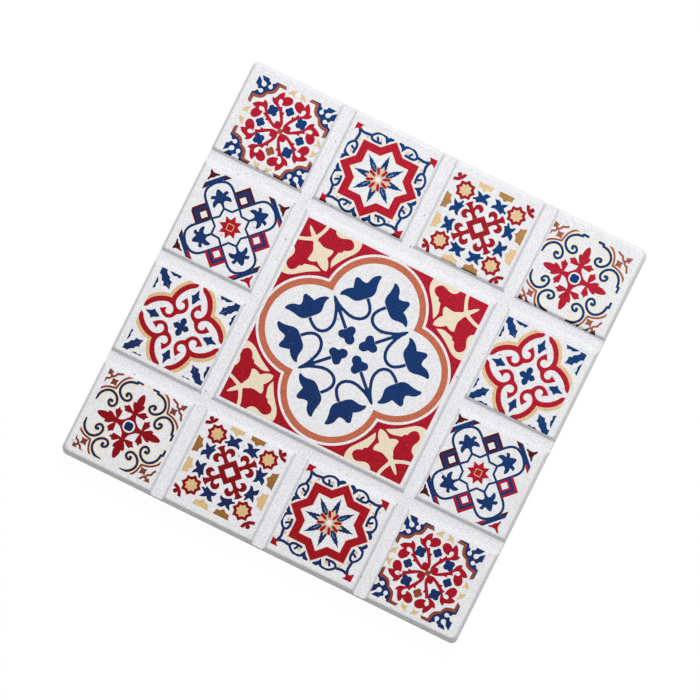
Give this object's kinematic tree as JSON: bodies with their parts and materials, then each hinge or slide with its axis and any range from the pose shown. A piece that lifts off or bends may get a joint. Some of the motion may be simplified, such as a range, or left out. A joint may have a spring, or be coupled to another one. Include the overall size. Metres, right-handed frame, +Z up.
{
  "type": "drink coaster",
  "caption": "Square mosaic drink coaster: small printed tiles round a large one, grouted on a backing plate with a cork pad under it, to stand a cup on.",
  "frame": {"origin": "on the table, under the middle of the coaster, on the cork pad's lower face", "axes": "+Z up through the tile faces, +X to the right and +Y to the back along the coaster's sides"},
  "size_m": [0.1, 0.1, 0.0061],
  "materials": {
    "cork": "bare cork granules",
    "film": "adhesive film",
    "plate": "matte, cast",
    "bed": "cured adhesive",
    "grout": "matte, speckled",
    "tile": "matte, speckled",
    "print_ink": "matte fired ink"
  },
  "bodies": {
    "root": {"cork_pad": "cork", "cork_adhesive_film": "film", "backing_plate": "plate", "tile_adhesive_bed": "bed", "grout_lattice": "grout", "centre_tile": "tile", "corner_tile_front_left": "tile", "corner_tile_front_right": "tile", "corner_tile_back_left": "tile", "corner_tile_back_right": "tile", "edge_tile_front_1": "tile", "edge_tile_front_2": "tile", "edge_tile_back_1": "tile", "edge_tile_back_2": "tile", "edge_tile_left_1": "tile", "edge_tile_left_2": "tile", "edge_tile_right_1": "tile", "edge_tile_right_2": "tile"}
  },
  "joints": []
}
